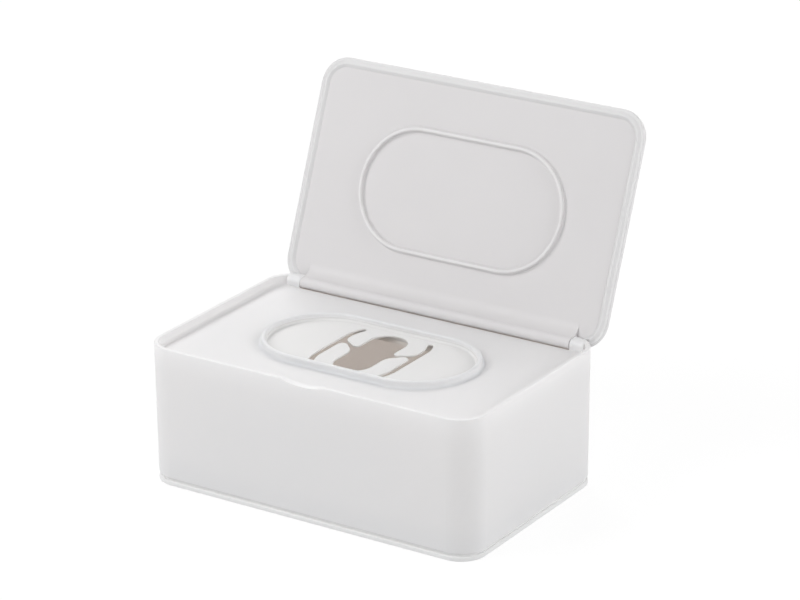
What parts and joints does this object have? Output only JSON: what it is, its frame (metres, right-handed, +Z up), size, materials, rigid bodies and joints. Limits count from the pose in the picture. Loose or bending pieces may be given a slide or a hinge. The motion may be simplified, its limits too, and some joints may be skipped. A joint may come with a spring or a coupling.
{
  "type": "baby wipes box",
  "caption": "Free-standing household box that dispenses baby wipes: hinged two-part lid with an oval seal, raised collar round a flexible cut mouth, finger notch in the rim and a push-fit base tray.",
  "frame": {"origin": "centre of the base, on the plane that the four feet stand on", "axes": "+Z up, +X to the right along the front, +Y from the front with the finger notch to the back with the lid hinge"},
  "size_m": [0.1906, 0.1686, 0.1789],
  "materials": {
    "case_plastic": "satin moulded white, faint fine texture",
    "lid_plastic": "satin moulded white",
    "liner_plastic": "matt moulded white",
    "tray_plastic": "satin moulded white",
    "mouth_elastomer": "soft matt white elastomer",
    "retainer_plastic": "natural moulded plastic",
    "seal_silicone": "matt white silicone",
    "foot_rubber": "matt pale grey silicone",
    "pin_steel": "drawn stainless steel"
  },
  "bodies": {
    "base": {"base_tray": "tray_plastic", "base_seal": "seal_silicone", "foot_front_left": "foot_rubber", "foot_front_right": "foot_rubber", "foot_rear_left": "foot_rubber", "foot_rear_right": "foot_rubber"},
    "case": {"case_body": "case_plastic", "mouth_insert": "mouth_elastomer", "mouth_retainer": "retainer_plastic"},
    "lid": {"lid_cover": "lid_plastic", "lid_liner": "liner_plastic", "lid_seal": "seal_silicone", "hinge_pin_left": "pin_steel", "hinge_pin_right": "pin_steel"}
  },
  "joints": [
    {"name": "case_lift", "type": "slide", "parent": "base", "child": "case", "axis": [0, 0, 1], "range_m": [0, 0.09]},
    {"name": "lid_hinge", "type": "hinge", "parent": "case", "child": "lid", "pos_m": [0, 0.05715, 0.0706], "axis": [1, 0, 0], "range_deg": [0, 111.75]}
  ]
}
